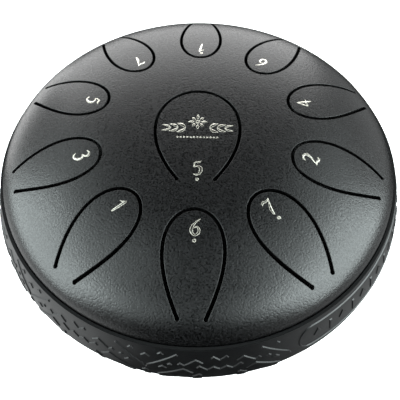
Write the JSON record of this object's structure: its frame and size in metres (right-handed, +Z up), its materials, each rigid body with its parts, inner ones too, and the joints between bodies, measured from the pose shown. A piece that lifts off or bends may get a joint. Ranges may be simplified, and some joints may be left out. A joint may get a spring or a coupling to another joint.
{
  "type": "steel tongue drum",
  "caption": "Round steel tongue drum: domed top with slotted tongues, bowl-shaped bottom shell with a sound hole, rubber band round the seam and rubber feet.",
  "frame": {"origin": "on the drum's axis, at the height of the surface that its feet stand on", "axes": "+Z up along the drum's axis; -Y towards the player, on the side of the lowest outer tongue and of the centre tongue's root; +X to the player's right"},
  "size_m": [0.2604, 0.2604, 0.115],
  "materials": {
    "powder_coated_steel": "satin black powder coat",
    "band_rubber": "satin moulded silicone rubber",
    "foot_rubber": "matt moulded rubber",
    "gasket_rubber": "matt sheet rubber",
    "zinc_plated_steel": "bright zinc plate",
    "etched_numerals": "laser-etched, pale silver gilt"
  },
  "bodies": {
    "drum": {"top_shell": "powder_coated_steel", "bottom_shell": "powder_coated_steel", "rim_band": "band_rubber", "seam_gasket": "gasket_rubber", "flange_screw_1": "zinc_plated_steel", "flange_screw_2": "zinc_plated_steel", "flange_screw_3": "zinc_plated_steel", "flange_screw_4": "zinc_plated_steel", "flange_screw_5": "zinc_plated_steel", "flange_screw_6": "zinc_plated_steel", "flange_screw_7": "zinc_plated_steel", "flange_screw_8": "zinc_plated_steel", "flange_nut_1": "zinc_plated_steel", "flange_nut_2": "zinc_plated_steel", "flange_nut_3": "zinc_plated_steel", "flange_nut_4": "zinc_plated_steel", "flange_nut_5": "zinc_plated_steel", "flange_nut_6": "zinc_plated_steel", "flange_nut_7": "zinc_plated_steel", "flange_nut_8": "zinc_plated_steel", "foot_1": "foot_rubber", "foot_2": "foot_rubber", "foot_3": "foot_rubber", "foot_4": "foot_rubber", "foot_screw_1": "zinc_plated_steel", "foot_screw_2": "zinc_plated_steel", "foot_screw_3": "zinc_plated_steel", "foot_screw_4": "zinc_plated_steel", "foot_nut_1": "zinc_plated_steel", "foot_nut_2": "zinc_plated_steel", "foot_nut_3": "zinc_plated_steel", "foot_nut_4": "zinc_plated_steel"},
    "tongue_a3_centre": {"tongue_a3_centre": "powder_coated_steel"},
    "tongue_b3": {"tongue_b3": "powder_coated_steel"},
    "tongue_cs4": {"tongue_cs4": "powder_coated_steel"},
    "tongue_e4": {"tongue_e4": "powder_coated_steel"},
    "tongue_g4": {"tongue_g4": "powder_coated_steel"},
    "tongue_b4": {"tongue_b4": "powder_coated_steel"},
    "tongue_d5": {"tongue_d5": "powder_coated_steel"},
    "tongue_cs5": {"tongue_cs5": "powder_coated_steel"},
    "tongue_a4": {"tongue_a4": "powder_coated_steel"},
    "tongue_fs4": {"tongue_fs4": "powder_coated_steel"},
    "tongue_d4": {"tongue_d4": "powder_coated_steel"}
  },
  "joints": [
    {"name": "tongue_a3_centre_flex", "type": "hinge", "parent": "drum", "child": "tongue_a3_centre", "pos_m": [0, -0.03645, 0.11398], "axis": [1, 0, 0], "range_deg": [-0.6, 0.6], "stiffness_Nm_per_rad": 20},
    {"name": "tongue_b3_flex", "type": "hinge", "parent": "drum", "child": "tongue_b3", "pos_m": [0, -0.10822, 0.10331], "axis": [1, 0, 0], "range_deg": [-0.6, 0.6], "stiffness_Nm_per_rad": 8},
    {"name": "tongue_cs4_flex", "type": "hinge", "parent": "drum", "child": "tongue_cs4", "pos_m": [0.06361, -0.08755, 0.10332], "axis": [0.809, 0.5878, 0], "range_deg": [-0.6, 0.6], "stiffness_Nm_per_rad": 8},
    {"name": "tongue_e4_flex", "type": "hinge", "parent": "drum", "child": "tongue_e4", "pos_m": [0.10291, -0.03344, 0.10332], "axis": [0.309, 0.9511, 0], "range_deg": [-0.6, 0.6], "stiffness_Nm_per_rad": 8},
    {"name": "tongue_g4_flex", "type": "hinge", "parent": "drum", "child": "tongue_g4", "pos_m": [0.1029, 0.03343, 0.10333], "axis": [-0.309, 0.9511, 0], "range_deg": [-0.6, 0.6], "stiffness_Nm_per_rad": 8},
    {"name": "tongue_b4_flex", "type": "hinge", "parent": "drum", "child": "tongue_b4", "pos_m": [0.06359, 0.08752, 0.10333], "axis": [-0.809, 0.5878, 0], "range_deg": [-0.6, 0.6], "stiffness_Nm_per_rad": 8},
    {"name": "tongue_d5_flex", "type": "hinge", "parent": "drum", "child": "tongue_d5", "pos_m": [0, 0.10817, 0.10333], "axis": [-1, 0, 0], "range_deg": [-0.6, 0.6], "stiffness_Nm_per_rad": 8},
    {"name": "tongue_cs5_flex", "type": "hinge", "parent": "drum", "child": "tongue_cs5", "pos_m": [-0.06359, 0.08752, 0.10333], "axis": [-0.809, -0.5878, 0], "range_deg": [-0.6, 0.6], "stiffness_Nm_per_rad": 8},
    {"name": "tongue_a4_flex", "type": "hinge", "parent": "drum", "child": "tongue_a4", "pos_m": [-0.1029, 0.03343, 0.10333], "axis": [-0.309, -0.9511, 0], "range_deg": [-0.6, 0.6], "stiffness_Nm_per_rad": 8},
    {"name": "tongue_fs4_flex", "type": "hinge", "parent": "drum", "child": "tongue_fs4", "pos_m": [-0.1029, -0.03344, 0.10332], "axis": [0.309, -0.9511, 0], "range_deg": [-0.6, 0.6], "stiffness_Nm_per_rad": 8},
    {"name": "tongue_d4_flex", "type": "hinge", "parent": "drum", "child": "tongue_d4", "pos_m": [-0.0636, -0.08754, 0.10332], "axis": [0.809, -0.5878, 0], "range_deg": [-0.6, 0.6], "stiffness_Nm_per_rad": 8}
  ]
}
